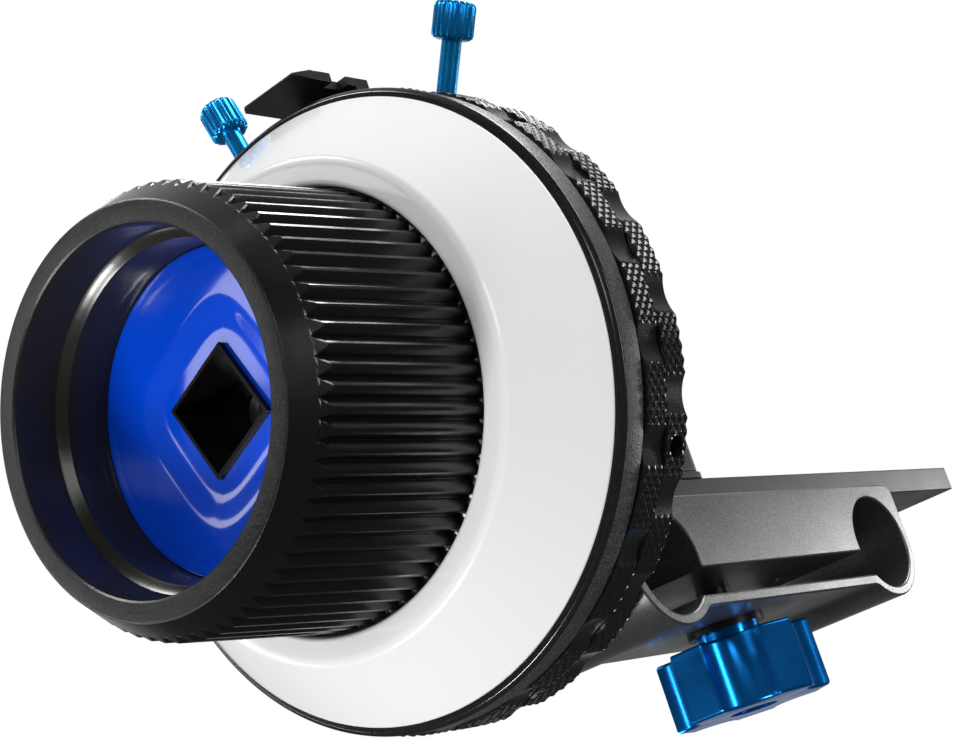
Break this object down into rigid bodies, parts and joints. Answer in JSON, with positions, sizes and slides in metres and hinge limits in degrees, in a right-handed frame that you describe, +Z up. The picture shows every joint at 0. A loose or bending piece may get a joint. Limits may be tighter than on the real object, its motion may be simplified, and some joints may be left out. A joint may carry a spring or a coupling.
{
  "type": "follow focus unit",
  "caption": "Follow focus: grooved hand wheel, white marking disc and stop rings drive a bevel gearbox on a sliding rail above a two-rod clamp.",
  "frame": {"origin": "middle of the near rod bore, half way along the bracket", "axes": "+X along the rods, +Y from the hand wheel towards the far rod, +Z up"},
  "size_m": [0.0906, 0.1655, 0.1096],
  "materials": {
    "bracket_anodised": "bead-blasted, dark grey anodised",
    "body_anodised": "bead-blasted, black anodised",
    "wheel_anodised": "turned, satin black anodised",
    "ring_anodised": "diamond-knurled, black anodised",
    "blue_anodised": "satin blue anodised",
    "cap_blue": "glossy royal blue",
    "disc_white": "glossy white, made to be written on",
    "gear_plastic": "black acetal",
    "steel": "bright steel",
    "bronze": "sintered bronze"
  },
  "bodies": {
    "bracket": {"rod_bracket": "bracket_anodised", "guide_pin": "steel", "clamp_stud": "steel", "clamp_washer": "steel"},
    "knob": {"clamp_knob": "blue_anodised"},
    "arm": {"slide_rail": "body_anodised", "rail_screws": "steel", "gearbox_base": "body_anodised", "gearbox_housing": "body_anodised", "index_pointer": "body_anodised", "pointer_screws": "steel", "input_bushing": "bronze", "output_bushing": "bronze"},
    "wheel": {"input_shaft": "steel", "input_bevel_gear": "steel", "hand_wheel": "wheel_anodised", "hub_cap": "cap_blue", "crank_socket": "wheel_anodised", "hub_screw": "steel", "disc_carrier": "wheel_anodised", "carrier_screws": "steel", "marking_disc": "disc_white", "disc_screws": "steel", "ring_drum": "wheel_anodised", "ring_retainer": "wheel_anodised", "retainer_screws": "steel"},
    "output": {"output_shaft": "steel", "output_bevel_gear": "steel", "drive_gear": "gear_plastic", "gear_washer": "steel", "gear_screw": "steel"},
    "ring_a": {"stop_ring_a": "ring_anodised"},
    "screw_a": {"stop_screw_a": "blue_anodised"},
    "ring_b": {"stop_ring_b": "ring_anodised"},
    "screw_b": {"stop_screw_b": "blue_anodised"}
  },
  "joints": [
    {"name": "arm_slide", "type": "slide", "parent": "bracket", "child": "arm", "axis": [0, -1, 0], "range_m": [0, 0.03]},
    {"name": "wheel_turn", "type": "hinge", "parent": "arm", "child": "wheel", "pos_m": [-0.0108, 0, 0.03283], "axis": [0, 1, 0], "range_deg": [-24.2, 6.2]},
    {"name": "gear_turn", "type": "hinge", "parent": "arm", "child": "output", "pos_m": [-0.0108, 0.00758, 0.03283], "axis": [1, 0, 0], "range_deg": [-6.3, 24.3]},
    {"name": "ring_a_turn", "type": "hinge", "parent": "wheel", "child": "ring_a", "pos_m": [-0.0108, 0, 0.03283], "axis": [0, 1, 0], "range_deg": [-150, 0]},
    {"name": "ring_b_turn", "type": "hinge", "parent": "wheel", "child": "ring_b", "pos_m": [-0.0108, 0, 0.03283], "axis": [0, 1, 0], "range_deg": [0, 100]},
    {"name": "stop_screw_a_turn", "type": "hinge", "parent": "ring_a", "child": "screw_a", "pos_m": [-0.02298, -0.01688, 0.07925], "axis": [-0.2538, 0, 0.9673], "range_deg": [0, 360]},
    {"name": "stop_screw_b_turn", "type": "hinge", "parent": "ring_b", "child": "screw_b", "pos_m": [0.01378, -0.01232, 0.07405], "axis": [0.512, 0, 0.859], "range_deg": [0, 360]},
    {"name": "clamp_knob_turn", "type": "hinge", "parent": "bracket", "child": "knob", "pos_m": [0, 0.03, -0.01], "axis": [0, 0, -1], "range_deg": [0, 360]}
  ],
  "couplings": [
    {"joint": "gear_turn", "follows": "wheel_turn", "ratio": -1}
  ]
}
